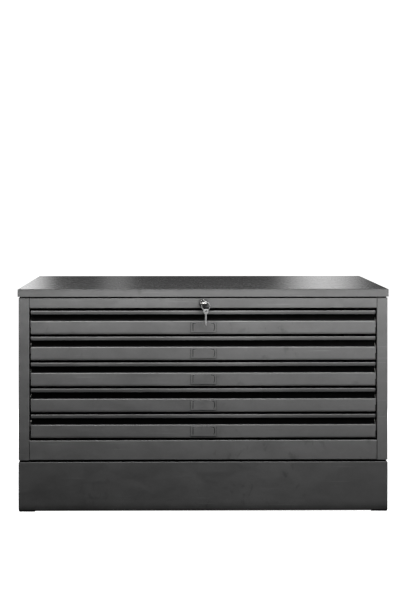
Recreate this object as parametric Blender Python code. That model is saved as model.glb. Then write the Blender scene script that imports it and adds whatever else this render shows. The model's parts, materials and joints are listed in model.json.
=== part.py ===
"""Sheet-steel plan chest with five shallow drawers, a central lock and a plinth.

Frame: metres, +X to the right, -Y to the front, +Z up. The origin is on the floor, under the
middle of the whole object, keys included. Every sheet part is drawn as a folded strip of constant
gauge: the corners of its middle surface are listed, rounded to the bend radius and thickened.
"""
import math

import bmesh
import bpy
from mathutils import Matrix, Vector

# Carcass, overall
BODY_WIDTH = 1.000
BODY_DEPTH = 0.724
TOP_SIDE_OVERHANG = 0.00275
TOP_END_OVERHANG = 0.003
STILE_WIDTH = 0.0292
STILE_RETURN = 0.040

# Heights above the floor
FOOT_HEIGHT = 0.0025
PLINTH_TOP = 0.1351
BODY_BOTTOM = 0.1397
SILL_TOP = 0.1934
LINTEL_BOTTOM = 0.5505
BODY_TOP = 0.5787
RIM_BOTTOM = 0.5820
TOP_SURFACE = 0.6030

# Sheet metal
SHEET = 0.0015
TRAY_SHEET = 0.0012
GAP = 0.0003
BEND_RADIUS = 0.00175
TRAY_BEND_RADIUS = 0.0010
BEND_STEPS = 3
SMOOTH_ANGLE = math.radians(35)
EMPTY_SIZE = 0.02
SEAM = 0.0006
TUCK = 0.0008
LEDGE_INSET = 0.009
SIDE_LEDGE_INSET = 0.003
LEDGE_WIDTH = 0.017
LID_LIP = 0.024
FLANGE = 0.022

# Drawers, counted from the top
DRAWER_COUNT = 5
DRAWER_PITCH = 0.0702
FIRST_LIP_TOP = 0.5443
FRONT_WIDTH = 0.933
FRONT_HEIGHT = 0.0645
FRONT_DEPTH = 0.0177
PANEL_HEIGHT = 0.0366
LIP_HEIGHT = 0.0109
LIP_HEM = 0.0045
LIP_LEAN = 0.0006
FRONT_FOOT = 0.014
TRAY_WIDTH = 0.896
TRAY_FRONT = 0.018
TRAY_REAR = 0.684
TRAY_RAISE = 0.002
TRAY_TOP_DROP = 0.0185
TRAY_FLANGE = 0.018
DRAWER_TRAVEL = 0.520

# Label holders
LABEL_WIDTH = 0.069
LABEL_HEIGHT = 0.0268
LABEL_THICKNESS = 0.0010
LABEL_DROP = 0.0044
SLIT_SPACING = 0.0564
SLIT_HEIGHT = 0.021
SLIT_WIDTH = 0.0016
SLIT_TICK = 0.008
SLIT_BOW = 0.0022
SLIT_STEPS = 6

# Rails and rollers
RAIL_HEIGHT = 0.024
RAIL_DEPTH = 0.015
RAIL_FRONT = 0.020
RAIL_REAR = 0.683
RAIL_DROP = 0.036
ROLLER_Y = 0.662
ROLLER_RADIUS = 0.010
ROLLER_WIDTH = 0.008
ROLLER_INNER_X = 0.458
ROLLER_BORE = 0.0034
ROLLER_CHAMFER = 0.0012
ROLLER_STEPS = 20
PIN_RADIUS = 0.0030
PIN_STEPS = 12
PIN_END_X = 0.4675
STOP_CLEARANCE = 0.0105
STOP_THICKNESS = 0.003
STOP_HEIGHT = 0.007

# Lock
LOCK_Z = 0.5650
HOUSING_BORE = 0.0083
HOUSING_RADIUS = 0.0092
HOUSING_RIM_RADIUS = 0.0107
HOUSING_RIM = 0.0035
HOUSING_LENGTH = 0.030
HOUSING_HOLE = 0.0095
PLUG_RADIUS = 0.0080
PLUG_FRONT = 0.0032
PLUG_REAR = 0.033
TANG_SIZE = 0.005
TANG_LENGTH = 0.005
KEYWAY_WIDTH = 0.0050
KEYWAY_HEIGHT = 0.0026
KEYWAY_DEPTH = 0.0255
NUT_RADIUS = 0.0120
NUT_THICKNESS = 0.005
NUT_SIDES = 6
ROUND_STEPS = 32

# Lock shaft, crank and locking bar, measured back from the front face
SHAFT_RADIUS = 0.004
SHAFT_STEPS = 16
HUB_RADIUS = 0.0065
HUB_LENGTH = 0.012
HUB_STEPS = 24
SHAFT_END = 0.706
CRANK_FRONT = 0.701
CRANK_THICKNESS = 0.004
CRANK_RADIUS = 0.011
CRANK_PIN_RADIUS = 0.002
CRANK_PIN_END = 0.7135
BAR_TRAVEL = 0.012
BAR_FRONT = 0.708
BAR_THICKNESS = 0.003
BAR_HALF_WIDTH = 0.012
BAR_HEAD_HALF_WIDTH = 0.015
BAR_HEAD_BOTTOM = 0.548
BAR_TOP = 0.577
BAR_SLOT_PLAY = 0.00055
HOOK_HALF_WIDTH = 0.010
HOOK_FRONT = 0.693
HOOK_FINGER = 0.0035
HOOK_ARM = 0.004
HOOK_TOP_DROP = 0.017
HOOK_TIP_DROP = 0.030
CATCH_HALF_WIDTH = 0.014
CATCH_REAR = 0.703
CATCH_THICKNESS = 0.002
CATCH_LIP = 0.003
CATCH_BOTTOM_DROP = 0.048
CATCH_TOP_DROP = 0.034
BRACKET_HALF_WIDTH = 0.021
BRACKET_FRONT = 0.692
BRACKET_WALL = 0.002
BRACKET_BOTTOM = 0.548
BRACKET_TOP = 0.580
BRACKET_HOLE = 0.0045
GUIDE_HALF_WIDTH = 0.020
GUIDE_FRONT = 0.704
GUIDE_BOTTOM = 0.254
GUIDE_TOP = 0.274
GUIDE_PLAY = 0.0004

# Keys: lengths run from the blade's tip to the bow's end
KEY_THICKNESS = 0.0018
KEY_BLADE_LENGTH = 0.028
KEY_BLADE_HALF = 0.0021
KEY_NECK_LENGTH = 0.004
KEY_NECK_HALF = 0.0040
KEY_BOW_CENTRE = 0.0380
KEY_BOW_HALF_LENGTH = 0.0072
KEY_BOW_HALF_WIDTH = 0.0090
KEY_HOLE_CENTRE = 0.0394
KEY_HOLE_HALF_LENGTH = 0.0026
KEY_HOLE_HALF_WIDTH = 0.0042
KEY_SHOULDER = 0.0046
KEY_BOW_STEPS = 28
KEY_HOLE_STEPS = 20
KEY_CUTS_START = 0.005
KEY_CUTS_PITCH = 0.0035
KEY_CUT_HALF_WIDTH = 0.0012
KEY_CUT_DEPTHS = (0.0009, 0.0004, 0.0012, 0.0006)
SPARE_KEY_YAW = math.radians(40)
RING_RADIUS = 0.0112
RING_WIRE = 0.0007
RING_HANG = 0.0080
RING_STEPS = 40
RING_WIRE_STEPS = 12
RING_PIVOT = (0.0062, -0.0004)
RING_TO_HOLE_EDGE = 0.0012

# Plinth, feet and floor panel
FOOT_SIZE = 0.042
FOOT_INSET = 0.002
PLINTH_FLANGE = 0.020
PLINTH_LEDGE = 0.018
FLOOR_HALF_WIDTH = 0.470
FLOOR_FRONT = 0.030
FLOOR_REAR_INSET = 0.007
FLOOR_UPSTAND = 0.012
SIDE_SHELF_X = 0.440
RIB_POSITIONS = (-0.25, 0.25)
RIB_HALF_WIDTH = 0.012
RIB_FLAT = 0.007
RIB_DEPTH = 0.004

# Places that follow from the sizes above
KEY_REACH = KEY_SHOULDER + KEY_BOW_CENTRE + KEY_BOW_HALF_LENGTH - KEY_BLADE_LENGTH
FRONT = (KEY_REACH - BODY_DEPTH - TOP_END_OVERHANG) / 2
BACK = FRONT + BODY_DEPTH
REAR_FLANGE = BACK - SHEET - GAP
HALF_WIDTH = BODY_WIDTH / 2
HALF_OPENING = HALF_WIDTH - STILE_WIDTH
LEDGE_TOP = RIM_BOTTOM - GAP
KEY_HOLE_Y = FRONT - KEY_SHOULDER - (KEY_HOLE_CENTRE - KEY_BLADE_LENGTH)
CRANK_THROW = BAR_TRAVEL / 2

BLACK_PAINT = ((0.065, 0.065, 0.067), 0.42, 0.0)
DARK_PAINT = ((0.050, 0.050, 0.052), 0.55, 0.0)
ZINC = ((0.55, 0.56, 0.57), 0.38, 1.0)
CHROME = ((0.78, 0.78, 0.79), 0.14, 1.0)
BRIGHT_STEEL = ((0.62, 0.61, 0.58), 0.26, 1.0)
DARK_STEEL = ((0.10, 0.10, 0.10), 0.35, 1.0)
NYLON = ((0.80, 0.79, 0.74), 0.48, 0.0)
RUBBER = ((0.020, 0.020, 0.020), 0.80, 0.0)


# ---------------------------------------------------------------- modelling helpers

def clear_scene():
    for obj in list(bpy.data.objects):
        bpy.data.objects.remove(obj, do_unlink=True)


def finish_mesh(name, bm):
    """Turn a bmesh into a linked object with outward faces."""
    bmesh.ops.recalc_face_normals(bm, faces=bm.faces)
    mesh = bpy.data.meshes.new(name)
    bm.to_mesh(mesh)
    bm.free()
    obj = bpy.data.objects.new(name, mesh)
    bpy.context.collection.objects.link(obj)
    return obj


def set_material(obj, finish):
    """Give the object its own Principled material."""
    colour, roughness, metallic = finish
    material = bpy.data.materials.new(obj.name)
    material.use_nodes = True
    shader = material.node_tree.nodes["Principled BSDF"]
    shader.inputs["Base Color"].default_value = (*colour, 1.0)
    shader.inputs["Roughness"].default_value = roughness
    shader.inputs["Metallic"].default_value = metallic
    obj.data.materials.clear()
    obj.data.materials.append(material)


def shade_round(obj):
    obj.data.shade_smooth()
    obj.data.set_sharp_from_angle(angle=SMOOTH_ANGLE)


def box(name, low, high):
    """A block between two opposite corners."""
    low, high = Vector(low), Vector(high)
    bm = bmesh.new()
    bmesh.ops.create_cube(bm, size=1.0)
    bmesh.ops.scale(bm, vec=high - low, verts=bm.verts)
    bmesh.ops.translate(bm, vec=(low + high) / 2, verts=bm.verts)
    return finish_mesh(name, bm)


def mirrored_box(name, side, low, high):
    """A block given for the right-hand side, on the side that the sign says."""
    xs = sorted((side * low[0], side * high[0]))
    return box(name, (xs[0], low[1], low[2]), (xs[1], high[1], high[2]))


def cylinder(name, centre, radius, length, axis, steps=ROUND_STEPS):
    """A solid cylinder whose middle is at centre, along the X, Y or Z axis."""
    bm = bmesh.new()
    bmesh.ops.create_cone(bm, cap_ends=True, segments=steps, radius1=radius, radius2=radius, depth=length)
    turn = {"X": Matrix.Rotation(math.pi / 2, 3, "Y"), "Y": Matrix.Rotation(math.pi / 2, 3, "X"),
            "Z": Matrix.Identity(3)}[axis]
    bmesh.ops.rotate(bm, matrix=turn, verts=bm.verts)
    bmesh.ops.translate(bm, vec=centre, verts=bm.verts)
    return finish_mesh(name, bm)


def combine(target, operation, tools):
    """Boolean the tools into the target, and remove them."""
    for tool in tools:
        modifier = target.modifiers.new(operation.title(), "BOOLEAN")
        modifier.operation = operation
        modifier.solver = "EXACT"
        modifier.object = tool
        graph = bpy.context.evaluated_depsgraph_get()
        result = bpy.data.meshes.new_from_object(target.evaluated_get(graph))
        target.modifiers.clear()
        target.data = result
        bpy.data.objects.remove(tool, do_unlink=True)
    result.name = target.name
    return target


def fuse(target, *tools):
    return combine(target, "UNION", tools)


def cut(target, *tools):
    return combine(target, "DIFFERENCE", tools)


def bent_path(corners, radius):
    """Round a path's inner corners. Returns (point, normal) pairs along it."""
    points = [Vector(corner) for corner in corners]
    ways = [(b - a).normalized() for a, b in zip(points, points[1:])]
    samples = [(points[0], Vector((-ways[0].y, ways[0].x)))]
    for corner, before, after in zip(points[1:-1], ways, ways[1:]):
        turn = before.angle_signed(after)
        run = radius * math.tan(abs(turn) / 2)
        start = corner - before * run
        normal = Vector((-before.y, before.x))
        side = -1 if turn > 0 else 1
        centre = start + normal * radius * side
        for step in range(BEND_STEPS + 1):
            rotation = Matrix.Rotation(-turn * step / BEND_STEPS, 2)
            samples.append((centre + rotation @ (start - centre), rotation @ normal))
    samples.append((points[-1], Vector((-ways[-1].y, ways[-1].x))))
    return samples


def folded_outline(corners, gauge=SHEET, radius=BEND_RADIUS):
    """The closed outline of a folded strip around the middle line that the corners give."""
    samples = bent_path(corners, radius)
    one_side = [point + normal * gauge / 2 for point, normal in samples]
    other_side = [point - normal * gauge / 2 for point, normal in samples]
    return one_side + other_side[::-1]


def extrude(name, outline, axis, start, end):
    """Extrude a flat outline along X (outline in Y, Z), Y (in X, Z) or Z (in X, Y)."""
    place = {"X": lambda u, v: (start, u, v), "Y": lambda u, v: (u, start, v), "Z": lambda u, v: (u, v, start)}[axis]
    along = {"X": (1, 0, 0), "Y": (0, 1, 0), "Z": (0, 0, 1)}[axis]
    bm = bmesh.new()
    face = bm.faces.new([bm.verts.new(place(u, v)) for u, v in outline])
    grown = bmesh.ops.extrude_face_region(bm, geom=[face])
    moved = [item for item in grown["geom"] if isinstance(item, bmesh.types.BMVert)]
    bmesh.ops.translate(bm, vec=Vector(along) * (end - start), verts=moved)
    return finish_mesh(name, bm)


def turned_ring(name, profile, axis, steps):
    """Spin a closed (radius, along) profile round the local X or Y axis, about the origin."""
    place = {"X": lambda r, a: (a, 0, r), "Y": lambda r, a: (0, a, r)}[axis]
    spin_axis = {"X": (1, 0, 0), "Y": (0, 1, 0)}[axis]
    bm = bmesh.new()
    verts = [bm.verts.new(place(r, a)) for r, a in profile]
    edges = [bm.edges.new((a, b)) for a, b in zip(verts, verts[1:] + verts[:1])]
    bmesh.ops.spin(bm, geom=verts + edges, cent=(0, 0, 0), axis=spin_axis, angle=math.tau,
                   steps=steps, use_merge=True)
    return finish_mesh(name, bm)


def move_origin(obj, origin):
    """Keep the mesh where it is, and put the object's origin somewhere else."""
    shift = Vector(origin) - obj.location
    obj.data.transform(Matrix.Translation(-shift))
    obj.location = origin


def joint_empty(name, place, parent=None):
    empty = bpy.data.objects.new(name, None)
    empty.empty_display_size = EMPTY_SIZE
    empty.location = place
    bpy.context.collection.objects.link(empty)
    if parent:
        ride(empty, parent)
    return empty


def ride(obj, parent):
    """Parent without moving: parents here are never rotated or scaled."""
    place = Vector((0, 0, 0))
    holder = parent
    while holder:
        place += holder.matrix_parent_inverse.to_translation() + holder.location
        holder = holder.parent
    obj.parent = parent
    obj.matrix_parent_inverse = Matrix.Translation(-place)


# ---------------------------------------------------------------- carcass

def make_top_panel():
    """Lid folded down all round, with a lip turned inwards at the foot of its rim."""
    half_x = HALF_WIDTH + TOP_SIDE_OVERHANG
    low = Vector((-half_x, FRONT - TOP_END_OVERHANG, RIM_BOTTOM))
    high = Vector((half_x, BACK + TOP_END_OVERHANG, TOP_SURFACE))
    lid = box("top_panel", low, high)
    bm = bmesh.new()
    bm.from_mesh(lid.data)
    rounded = [edge for edge in bm.edges if max(v.co.z for v in edge.verts) > RIM_BOTTOM + SHEET]
    bmesh.ops.bevel(bm, geom=rounded, offset=BEND_RADIUS + SHEET / 2, segments=BEND_STEPS,
                    profile=0.5, affect="EDGES")
    bm.to_mesh(lid.data)
    bm.free()
    wall = Vector((SHEET, SHEET, SHEET))
    lip = Vector((LID_LIP, LID_LIP, -SHEET))
    hollow = box("hollow", low + wall, high - wall)
    mouth = box("mouth", low + lip, high - Vector((LID_LIP, LID_LIP, 2 * SHEET)))
    cut(lid, hollow, mouth)
    set_material(lid, BLACK_PAINT)


def make_side_panel(name, side):
    """Side folded into a channel: front stile, outer wall and rear flange, each with its return."""
    inner = side * (HALF_OPENING + SHEET / 2)
    outer = side * (HALF_WIDTH - SHEET / 2)
    path = [(inner, FRONT + STILE_RETURN), (inner, FRONT + SHEET / 2), (outer, FRONT + SHEET / 2),
            (outer, REAR_FLANGE - SHEET / 2), (inner, REAR_FLANGE - SHEET / 2),
            (inner, REAR_FLANGE - STILE_RETURN)]
    panel = extrude(name, folded_outline(path), "Z", BODY_BOTTOM, BODY_TOP)
    near, far = HALF_OPENING + TUCK, HALF_WIDTH - TUCK
    front, rear = FRONT + TUCK, REAR_FLANGE - TUCK
    ledge_out = HALF_WIDTH - SIDE_LEDGE_INSET
    fuse(panel,
         mirrored_box("top_flange", side, (near, front, BODY_TOP - SHEET), (far, rear, BODY_TOP)),
         mirrored_box("ledge", side, (near, FRONT + LEDGE_INSET, BODY_TOP - SHEET / 2),
                      (ledge_out, rear - LEDGE_INSET, LEDGE_TOP)),
         mirrored_box("bottom_flange", side, (near, front, BODY_BOTTOM), (far, rear, BODY_BOTTOM + SHEET)),
         mirrored_box("shelf", side, (SIDE_SHELF_X, FRONT + FLOOR_FRONT, BODY_BOTTOM),
                      (near + LEDGE_INSET, rear - TUCK, BODY_BOTTOM + SHEET)))
    set_material(panel, BLACK_PAINT)


def make_back_panel():
    """Flat back with two pressed ribs."""
    y = BACK - SHEET / 2
    path = [(-HALF_WIDTH + TUCK, y)]
    for x in RIB_POSITIONS:
        path += [(x - RIB_HALF_WIDTH, y), (x - RIB_FLAT, y - RIB_DEPTH),
                 (x + RIB_FLAT, y - RIB_DEPTH), (x + RIB_HALF_WIDTH, y)]
    path.append((HALF_WIDTH - TUCK, y))
    panel = extrude("back_panel", folded_outline(path), "Z", BODY_BOTTOM, BODY_TOP)
    set_material(panel, BLACK_PAINT)


def make_top_rail():
    """Channel over the drawers, with a ledge for the lid and a hole for the lock."""
    y, low, high = FRONT + SHEET / 2, LINTEL_BOTTOM + SHEET / 2, BODY_TOP - SHEET / 2
    half_x = HALF_OPENING - SEAM
    path = [(FRONT + FLANGE, low), (y, low), (y, high), (FRONT + LEDGE_INSET + LEDGE_WIDTH, high)]
    rail = extrude("top_rail", folded_outline(path), "X", -half_x, half_x)
    ledge = box("ledge", (-half_x, FRONT + LEDGE_INSET, BODY_TOP - SHEET / 2),
                (half_x, FRONT + LEDGE_INSET + LEDGE_WIDTH, LEDGE_TOP))
    fuse(rail, ledge)
    cut(rail, cylinder("lock_hole", (0, FRONT, LOCK_Z), HOUSING_HOLE, 4 * SHEET, "Y"))
    set_material(rail, BLACK_PAINT)


def make_bottom_rail():
    """Channel under the drawers."""
    y, low, high = FRONT + SHEET / 2, BODY_BOTTOM + SHEET / 2, SILL_TOP - SHEET / 2
    half_x = HALF_OPENING - SEAM
    path = [(FRONT + FLANGE, low), (y, low), (y, high), (FRONT + FLANGE, high)]
    rail = extrude("bottom_rail", folded_outline(path), "X", -half_x, half_x)
    set_material(rail, BLACK_PAINT)


def make_floor_panel():
    """Bottom of the carcass, turned up at the front and rear."""
    z = BODY_BOTTOM + SHEET + GAP + SHEET / 2
    front, rear = FRONT + FLOOR_FRONT, REAR_FLANGE - FLOOR_REAR_INSET
    path = [(front, z + FLOOR_UPSTAND), (front, z), (rear, z), (rear, z + FLOOR_UPSTAND)]
    panel = extrude("floor_panel", folded_outline(path), "X", -FLOOR_HALF_WIDTH, FLOOR_HALF_WIDTH)
    set_material(panel, DARK_PAINT)


def plinth_section(inset):
    """Foot flange, wall, shadow step and ledge, as (distance in from the outside, height)."""
    foot, shoulder = FOOT_HEIGHT + SHEET / 2, PLINTH_TOP - SHEET / 2
    ledge = BODY_BOTTOM - GAP - SHEET / 2
    step = inset + SHEET / 2
    return folded_outline([(PLINTH_FLANGE, foot), (SHEET / 2, foot), (SHEET / 2, shoulder),
                           (step, shoulder), (step, ledge), (LEDGE_INSET + PLINTH_LEDGE, ledge)])


def make_plinth():
    """Mitred frame of one folded section, with a shallower shadow step at the sides."""
    section = list(zip(plinth_section(SIDE_LEDGE_INSET), plinth_section(LEDGE_INSET)))
    bm = bmesh.new()
    middle, half_depth = (FRONT + BACK) / 2, BODY_DEPTH / 2
    rings = []
    for sx, sy in ((-1, -1), (1, -1), (1, 1), (-1, 1)):
        rings.append([bm.verts.new((sx * (HALF_WIDTH - across), middle + sy * (half_depth - along), z))
                      for (across, z), (along, _) in section])
    for ring, following in zip(rings, rings[1:] + rings[:1]):
        for i in range(len(section)):
            j = (i + 1) % len(section)
            bm.faces.new((ring[i], ring[j], following[j], following[i]))
    frame = finish_mesh("plinth", bm)
    set_material(frame, BLACK_PAINT)


def make_foot_pads():
    for y_name, y in (("front", FRONT + FOOT_INSET), ("rear", BACK - FOOT_INSET - FOOT_SIZE)):
        for x_name, side in (("left", -1), ("right", 1)):
            outer = HALF_WIDTH - FOOT_INSET
            pad = mirrored_box(f"foot_pad_{y_name}_{x_name}", side, (outer - FOOT_SIZE, y, 0),
                               (outer, y + FOOT_SIZE, FOOT_HEIGHT - GAP))
            set_material(pad, RUBBER)


# ---------------------------------------------------------------- drawers

def make_rail(number, side_name, side, lip_top):
    """Channel that a tray's roller runs in, with a stop at each end of its travel."""
    middle = lip_top - RAIL_DROP
    web = HALF_OPENING - GAP - SHEET / 2
    mouth = HALF_OPENING - GAP - RAIL_DEPTH
    half = RAIL_HEIGHT / 2 - SHEET / 2
    path = [(side * mouth, middle + half), (side * web, middle + half),
            (side * web, middle - half), (side * mouth, middle - half)]
    rail = extrude(f"drawer_{number}_rail_{side_name}", folded_outline(path), "Y",
                   FRONT + RAIL_FRONT, FRONT + RAIL_REAR)
    floor = middle - half
    for y in (ROLLER_Y - DRAWER_TRAVEL - STOP_CLEARANCE - STOP_THICKNESS, ROLLER_Y + STOP_CLEARANCE):
        fuse(rail, mirrored_box("stop", side, (ROLLER_INNER_X, FRONT + y, floor),
                                (web, FRONT + y + STOP_THICKNESS, floor + STOP_HEIGHT)))
    set_material(rail, ZINC)


def make_tray(number, lip_top):
    """Hat-section tray with end walls, two roller pins and the catch for the locking bar."""
    low = lip_top - FRONT_HEIGHT + TRAY_RAISE + TRAY_SHEET / 2
    high = lip_top - TRAY_TOP_DROP - TRAY_SHEET / 2
    wall = TRAY_WIDTH / 2 - TRAY_SHEET / 2
    edge = TRAY_WIDTH / 2 + TRAY_FLANGE
    path = [(-edge, high), (-wall, high), (-wall, low), (wall, low), (wall, high), (edge, high)]
    tray = extrude(f"drawer_{number}_tray", folded_outline(path, TRAY_SHEET, TRAY_BEND_RADIUS), "Y",
                   FRONT + TRAY_FRONT, FRONT + TRAY_REAR)
    for y in (FRONT + TRAY_FRONT, FRONT + TRAY_REAR - TRAY_SHEET):
        fuse(tray, box("end_wall", (-wall, y, low), (wall, y + TRAY_SHEET, high + TRAY_SHEET / 2)))
    pin_start = TRAY_WIDTH / 2 - TRAY_SHEET / 2
    for side in (-1, 1):
        place = (side * (pin_start + PIN_END_X) / 2, FRONT + ROLLER_Y, lip_top - RAIL_DROP)
        fuse(tray, cylinder("pin", place, PIN_RADIUS, PIN_END_X - pin_start, "X", PIN_STEPS))
    bottom, top = lip_top - CATCH_BOTTOM_DROP, lip_top - CATCH_TOP_DROP
    rear, inside = FRONT + CATCH_REAR, FRONT + TRAY_REAR - TRAY_SHEET / 2
    fuse(tray,
         box("catch_plate", (-CATCH_HALF_WIDTH, inside, bottom), (CATCH_HALF_WIDTH, rear, bottom + CATCH_THICKNESS)),
         box("catch_lip", (-CATCH_HALF_WIDTH, rear - CATCH_LIP, bottom), (CATCH_HALF_WIDTH, rear, top)))
    set_material(tray, DARK_PAINT)
    return tray


def make_front(number, lip_top):
    """One folded sheet: foot flange, panel, floor and back of the finger recess, and lip."""
    half = SHEET / 2
    bottom = lip_top - FRONT_HEIGHT
    shelf = bottom + PANEL_HEIGHT - half
    hem = lip_top - LIP_HEIGHT + half
    path = [(FRONT + FRONT_FOOT, bottom + half), (FRONT + half, bottom + half), (FRONT + half, shelf),
            (FRONT + FRONT_DEPTH - half, shelf), (FRONT + FRONT_DEPTH - half, lip_top - half),
            (FRONT + half, lip_top - half), (FRONT + half + LIP_LEAN, hem), (FRONT + LIP_HEM, hem)]
    front = extrude(f"drawer_{number}_front", folded_outline(path), "X", -FRONT_WIDTH / 2, FRONT_WIDTH / 2)
    set_material(front, BLACK_PAINT)
    return front


def slit_outline(side, top):
    """A bracket-shaped slit; the right-hand one is bowed outwards."""
    half = SLIT_WIDTH / 2
    x = side * SLIT_SPACING / 2
    tick = x - side * SLIT_TICK
    bow = SLIT_BOW if side > 0 else 0.0
    heights = [top - SLIT_HEIGHT * step / SLIT_STEPS for step in range(SLIT_STEPS + 1)]
    line = [(x + side * bow * math.sin(math.pi * (top - z) / SLIT_HEIGHT), z) for z in heights]
    outer = [(u + side * half, z) for u, z in line]
    inner = [(u - side * half, z) for u, z in line[1:]]
    return [(tick, top)] + outer + inner[::-1] + [(line[0][0] - side * half, top - SLIT_WIDTH), (tick, top - half)]


def make_label_holder(number, lip_top):
    """Thin plate with two slits that a card is tucked into."""
    top = lip_top - FRONT_HEIGHT + PANEL_HEIGHT - LABEL_DROP
    face = FRONT - GAP - LABEL_THICKNESS
    plate = box(f"drawer_{number}_label_holder", (-LABEL_WIDTH / 2, face, top - LABEL_HEIGHT),
                (LABEL_WIDTH / 2, FRONT - GAP, top))
    slit_top = top - (LABEL_HEIGHT - SLIT_HEIGHT) / 3
    for side in (-1, 1):
        cut(plate, extrude("slit", slit_outline(side, slit_top), "Y", face - GAP, FRONT))
    set_material(plate, BLACK_PAINT)
    return plate


def make_roller(number, side_name, side, lip_top):
    """Chamfered nylon roller on its own axle line."""
    half = ROLLER_WIDTH / 2
    shoulder = half - ROLLER_CHAMFER
    rim = ROLLER_RADIUS - ROLLER_CHAMFER
    profile = [(ROLLER_BORE, -half), (rim, -half), (ROLLER_RADIUS, -shoulder),
               (ROLLER_RADIUS, shoulder), (rim, half), (ROLLER_BORE, half)]
    roller = turned_ring(f"drawer_{number}_roller_{side_name}", profile, "X", ROLLER_STEPS)
    roller.location = (side * (ROLLER_INNER_X + half), FRONT + ROLLER_Y, lip_top - RAIL_DROP)
    shade_round(roller)
    set_material(roller, NYLON)
    return roller


def make_drawer(number):
    lip_top = FIRST_LIP_TOP - (number - 1) * DRAWER_PITCH
    slide = joint_empty(f"drawer_{number}_slide", (0, FRONT, lip_top - FRONT_HEIGHT / 2))
    for piece in (make_tray(number, lip_top), make_front(number, lip_top), make_label_holder(number, lip_top)):
        ride(piece, slide)
    for side_name, side in (("left", -1), ("right", 1)):
        make_rail(number, side_name, side, lip_top)
        ride(make_roller(number, side_name, side, lip_top), slide)


# ---------------------------------------------------------------- lock and locking bar

def make_lock_housing():
    """Flanged sleeve through the top rail, held by a nut behind it."""
    edge = HOUSING_RIM / 4
    profile = [(HOUSING_BORE, -HOUSING_RIM + edge / 2), (HOUSING_BORE + edge / 2, -HOUSING_RIM),
               (HOUSING_RIM_RADIUS - edge, -HOUSING_RIM), (HOUSING_RIM_RADIUS, -HOUSING_RIM + edge),
               (HOUSING_RIM_RADIUS, -GAP), (HOUSING_RADIUS, -GAP), (HOUSING_RADIUS, HOUSING_LENGTH),
               (HOUSING_BORE, HOUSING_LENGTH)]
    housing = turned_ring("lock_housing", profile, "Y", ROUND_STEPS)
    housing.location = (0, FRONT, LOCK_Z)
    shade_round(housing)
    set_material(housing, DARK_STEEL)

    rear = FRONT + SHEET + GAP
    middle = (0, rear + NUT_THICKNESS / 2, LOCK_Z)
    nut = cylinder("lock_nut", middle, NUT_RADIUS, NUT_THICKNESS, "Y", NUT_SIDES)
    cut(nut, cylinder("thread", middle, HOUSING_HOLE, 2 * NUT_THICKNESS, "Y"))
    set_material(nut, ZINC)


def make_lock_plug(turn):
    """Turning core with a level keyway and a square tang for the shaft."""
    length = PLUG_FRONT + PLUG_REAR
    plug = cylinder("lock_plug", (0, FRONT + PLUG_REAR - length / 2, LOCK_Z), PLUG_RADIUS, length, "Y")
    half = TANG_SIZE / 2
    tang = box("tang", (-half, FRONT + PLUG_REAR - half, LOCK_Z - half),
               (half, FRONT + PLUG_REAR + TANG_LENGTH, LOCK_Z + half))
    fuse(plug, tang)
    keyway = box("keyway", (-KEYWAY_WIDTH / 2, FRONT - 2 * PLUG_FRONT, LOCK_Z - KEYWAY_HEIGHT / 2),
                 (KEYWAY_WIDTH / 2, FRONT + KEYWAY_DEPTH, LOCK_Z + KEYWAY_HEIGHT / 2))
    cut(plug, keyway)
    shade_round(plug)
    move_origin(plug, turn.location)
    set_material(plug, CHROME)
    ride(plug, turn)


def make_lock_shaft(turn):
    """Rod that carries the turn to the rear, with a hub over the plug's tang."""
    start = FRONT + PLUG_REAR + GAP
    end = FRONT + SHAFT_END
    shaft = cylinder("lock_shaft", (0, (start + end) / 2, LOCK_Z), SHAFT_RADIUS, end - start, "Y", SHAFT_STEPS)
    fuse(shaft, cylinder("hub", (0, start + HUB_LENGTH / 2, LOCK_Z), HUB_RADIUS, HUB_LENGTH, "Y", HUB_STEPS))
    half = TANG_SIZE / 2 + GAP
    cut(shaft, box("socket", (-half, start - GAP, LOCK_Z - half),
                   (half, start + TANG_LENGTH + 2 * GAP, LOCK_Z + half)))
    shade_round(shaft)
    move_origin(shaft, turn.location)
    set_material(shaft, ZINC)
    ride(shaft, turn)


def make_lock_crank(turn):
    """Disc on the shaft's rear end, whose pin works the locking bar."""
    middle = FRONT + CRANK_FRONT + CRANK_THICKNESS / 2
    crank = cylinder("lock_crank", (0, middle, LOCK_Z), CRANK_RADIUS, CRANK_THICKNESS, "Y")
    pin_end = FRONT + CRANK_PIN_END
    fuse(crank, cylinder("pin", (CRANK_THROW, (middle + pin_end) / 2, LOCK_Z + CRANK_THROW),
                         CRANK_PIN_RADIUS, pin_end - middle, "Y", SHAFT_STEPS))
    cut(crank, cylinder("bore", (0, middle, LOCK_Z), SHAFT_RADIUS + GAP, 2 * CRANK_THICKNESS, "Y", SHAFT_STEPS))
    shade_round(crank)
    move_origin(crank, turn.location)
    set_material(crank, ZINC)
    ride(crank, turn)


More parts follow.
